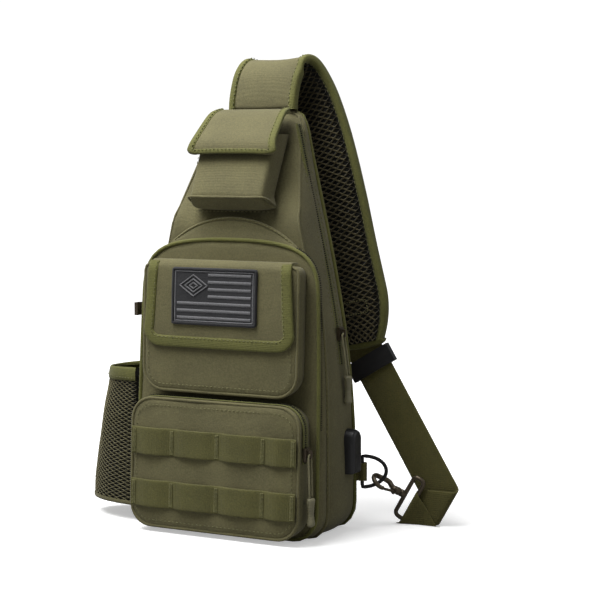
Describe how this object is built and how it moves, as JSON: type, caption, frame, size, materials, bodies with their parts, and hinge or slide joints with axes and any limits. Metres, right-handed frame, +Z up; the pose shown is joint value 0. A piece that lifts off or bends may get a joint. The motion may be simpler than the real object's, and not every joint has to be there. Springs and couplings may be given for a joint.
{
  "type": "sling bag",
  "caption": "Olive tactical sling bag with stacked front pockets, side bottle sleeve, padded strap and snap hook.",
  "frame": {"origin": "centre of the base, on the floor", "axes": "+Z up the bag, -Y out of the front pockets, +X towards the D-ring side"},
  "size_m": [0.3481, 0.1501, 0.4386],
  "materials": {
    "olive_fabric": "600D woven polyester",
    "binding": "ribbed binding tape",
    "webbing": "ribbed nylon webbing",
    "air_mesh": "open knitted mesh",
    "touch_fastener": "hook and loop",
    "patch": "embroidered",
    "black_plastic": "moulded, matte",
    "black_wire": "black coated wire",
    "bronze": "antique bronze",
    "toggle": "moulded olive plastic",
    "cord": "braided cord"
  },
  "bodies": {
    "bag": {"back_mesh": "air_mesh", "back_panel": "olive_fabric", "main_front_panel": "olive_fabric", "rear_gusset": "olive_fabric", "main_zip_tape_left": "binding", "main_zip_tape_right": "binding", "divider_panel": "olive_fabric", "front_gusset": "olive_fabric", "front_panel": "olive_fabric", "front_zip_tape": "binding", "webbing_pocket_gusset": "olive_fabric", "webbing_pocket_panel": "olive_fabric", "webbing_row_upper": "webbing", "webbing_row_lower": "webbing", "webbing_pocket_zip": "binding", "flap_pocket_gusset": "olive_fabric", "flap_pocket_panel": "olive_fabric", "pocket_loop_strip": "touch_fastener", "upper_pocket_panel": "olive_fabric", "upper_pocket_gusset": "olive_fabric", "upper_loop_strip": "touch_fastener", "bottle_sleeve": "air_mesh", "bottle_hem": "binding", "bottle_base": "olive_fabric", "port_housing": "black_plastic", "socket_shell": "bronze", "socket_tongue": "black_plastic", "strap_root": "olive_fabric", "d_ring_tab": "webbing"},
    "upper_flap": {"upper_flap": "olive_fabric", "upper_flap_binding": "binding", "upper_hook_strip": "touch_fastener"},
    "pocket_flap": {"pocket_flap": "olive_fabric", "pocket_flap_binding": "binding", "pocket_hook_strip": "touch_fastener", "patch": "patch"},
    "main_slider": {"main_zip_slider": "bronze"},
    "main_pull": {"main_zip_pull_cord": "cord", "main_zip_toggle": "toggle"},
    "webbing_pocket_slider": {"webbing_pocket_zip_slider": "bronze"},
    "webbing_pocket_pull": {"webbing_pocket_zip_pull_cord": "cord", "webbing_pocket_zip_toggle": "toggle"},
    "front_slider": {"front_zip_slider": "bronze"},
    "strap": {"strap_pad": "olive_fabric", "strap_mesh": "air_mesh", "strap_webbing": "webbing"},
    "adjuster": {"strap_adjuster": "black_plastic"},
    "eye": {"swivel_eye": "bronze"},
    "hook": {"hook_body": "bronze"},
    "gate": {"hook_gate": "bronze"},
    "ring": {"d_ring": "black_wire"}
  },
  "joints": [
    {"name": "upper_flap_hinge", "type": "hinge", "parent": "bag", "child": "upper_flap", "pos_m": [0, 0.031, 0.3857], "axis": [-1, 0, 0], "range_deg": [0, 90]},
    {"name": "pocket_flap_hinge", "type": "hinge", "parent": "bag", "child": "pocket_flap", "pos_m": [0, -0.01955, 0.25], "axis": [-1, 0, 0], "range_deg": [0, 85]},
    {"name": "main_zip_slide", "type": "slide", "parent": "bag", "child": "main_slider", "axis": [-0.1436, 0, 0.9896], "range_m": [0, 0.015]},
    {"name": "main_pull_swing", "type": "hinge", "parent": "main_slider", "child": "main_pull", "pos_m": [0.0934, 0.027, 0.1831], "axis": [0, -1, 0], "range_deg": [0, 50]},
    {"name": "webbing_pocket_zip_slide", "type": "slide", "parent": "bag", "child": "webbing_pocket_slider", "axis": [0, 0.0449, 0.999], "range_m": [0, 0.014]},
    {"name": "webbing_pocket_pull_swing", "type": "hinge", "parent": "webbing_pocket_slider", "child": "webbing_pocket_pull", "pos_m": [0.0925, -0.03961, 0.0821], "axis": [0, -1, 0], "range_deg": [0, 50]},
    {"name": "front_zip_slide", "type": "slide", "parent": "bag", "child": "front_slider", "axis": [0, 0.0449, 0.999], "range_m": [-0.05, 0]},
    {"name": "strap_swing", "type": "hinge", "parent": "bag", "child": "strap", "pos_m": [0.005, 0.046, 0.39], "axis": [0.3048, 0.0325, -0.9518], "range_deg": [-25, 20]},
    {"name": "adjuster_slide", "type": "slide", "parent": "strap", "child": "adjuster", "axis": [0.5149, 0, -0.8572], "range_m": [0, 0.06]},
    {"name": "eye_tilt", "type": "hinge", "parent": "strap", "child": "eye", "pos_m": [0.141, 0.0815, 0.0225], "axis": [0.4925, 0, 0.8703], "range_deg": [-2, 2]},
    {"name": "hook_swivel", "type": "hinge", "parent": "eye", "child": "hook", "pos_m": [0.13143, 0.0815, 0.02792], "axis": [-0.4788, -0.7402, 0.4721], "range_deg": [-8, 8]},
    {"name": "gate_hinge", "type": "hinge", "parent": "hook", "child": "gate", "pos_m": [0.126, 0.06862, 0.03294], "axis": [-0.7385, 0.0488, -0.6725], "range_deg": [0, 16], "stiffness_Nm_per_rad": 0.02, "springref_deg": -28.65},
    {"name": "ring_swing", "type": "hinge", "parent": "bag", "child": "ring", "pos_m": [0.103, 0.049, 0.053], "axis": [0, 0, 1], "range_deg": [-2, 2]}
  ]
}
